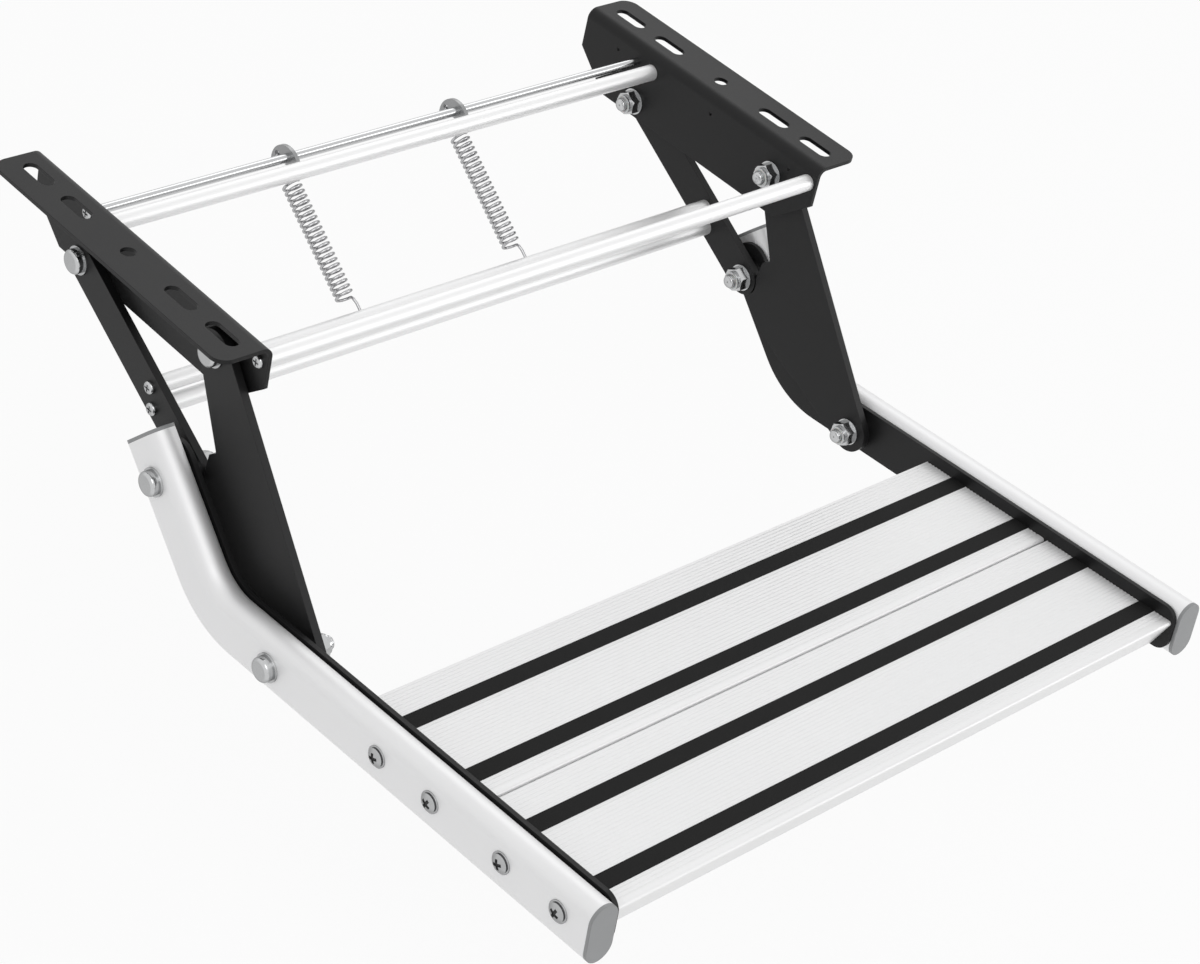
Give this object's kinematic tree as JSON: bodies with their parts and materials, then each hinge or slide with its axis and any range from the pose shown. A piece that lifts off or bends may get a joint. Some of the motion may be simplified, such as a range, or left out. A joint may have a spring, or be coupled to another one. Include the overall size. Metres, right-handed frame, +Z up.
{
  "type": "folding caravan entry step",
  "caption": "Folding entry step: ribbed hollow planks between bent oval arms, hung on a spring-loaded four-bar linkage from slotted flange brackets.",
  "frame": {"origin": "midway between the two brackets, level with the middle holes, on the plane of the flanges' top faces", "axes": "+X across the step to its right as seen from the front, -Y to the front, where the treads are, +Z up"},
  "size_m": [0.6132, 0.6642, 0.213],
  "materials": {
    "black_coat": "satin black powder coat on sheet steel",
    "zinc": "bright zinc plate",
    "bar_aluminium": "plain drawn bar",
    "spring_wire": "bright spring wire",
    "arm_aluminium": "satin anodised tube",
    "plank_aluminium": "satin anodised extrusion",
    "grip_rubber": "matt black grip strip",
    "cap_plastic": "mid grey moulded plastic"
  },
  "bodies": {
    "frame": {"bracket_left": "black_coat", "bracket_right": "black_coat", "rear_rod": "zinc", "rear_bar": "bar_aluminium", "front_bar": "bar_aluminium", "hanger_left": "zinc", "hanger_right": "zinc", "frame_screws": "zinc", "bracket_bolts": "zinc", "bracket_spacers": "zinc", "bracket_head_washers": "zinc", "bracket_nut_washers": "zinc", "bracket_nuts": "zinc"},
    "rear_links": {"rear_link_left": "black_coat", "rear_link_right": "black_coat", "upper_link_bar": "bar_aluminium", "lower_link_bar": "bar_aluminium", "link_screws": "zinc"},
    "front_links": {"front_link_left": "black_coat", "front_link_right": "black_coat", "front_pivot_studs": "zinc", "front_pivot_nut_washers": "zinc", "front_pivot_nuts": "zinc"},
    "springs": {"spring_left": "spring_wire", "spring_right": "spring_wire"},
    "treads": {"arm_left": "arm_aluminium", "arm_right": "arm_aluminium", "arm_plate_left": "black_coat", "arm_plate_right": "black_coat", "rear_plank": "plank_aluminium", "front_plank": "plank_aluminium", "grip_strips": "grip_rubber", "arm_front_caps": "cap_plastic", "arm_top_caps": "cap_plastic", "tread_screws": "zinc", "tread_screw_washers": "zinc", "arm_pivot_washers": "zinc", "rear_pivot_bolts": "zinc", "rear_pivot_spacers": "zinc", "rear_pivot_nut_washers": "zinc", "rear_pivot_nuts": "zinc", "front_pivot_bolts": "zinc", "front_pivot_spacers": "zinc"}
  },
  "joints": [
    {"name": "rear_link_fold", "type": "hinge", "parent": "frame", "child": "rear_links", "pos_m": [0, 0.064, -0.048], "axis": [1, 0, 0], "range_deg": [0, 130]},
    {"name": "front_link_fold", "type": "hinge", "parent": "frame", "child": "front_links", "pos_m": [0, -0.087, -0.029], "axis": [1, 0, 0], "range_deg": [0, 93]},
    {"name": "tread_fold", "type": "hinge", "parent": "rear_links", "child": "treads", "pos_m": [0, -0.0809, -0.129], "axis": [1, 0, 0], "range_deg": [-135.5, 0]},
    {"name": "spring_swing", "type": "hinge", "parent": "frame", "child": "springs", "pos_m": [0, 0.082, -0.0186], "axis": [1, 0, 0], "range_deg": [0, 105], "deforming": ["spring_left", "spring_right"]}
  ],
  "couplings": [
    {"joint": "front_link_fold", "follows": "rear_link_fold", "ratio": 0.71},
    {"joint": "tread_fold", "follows": "rear_link_fold", "ratio": -1.0354},
    {"joint": "spring_swing", "follows": "rear_link_fold", "ratio": 0.8}
  ]
}
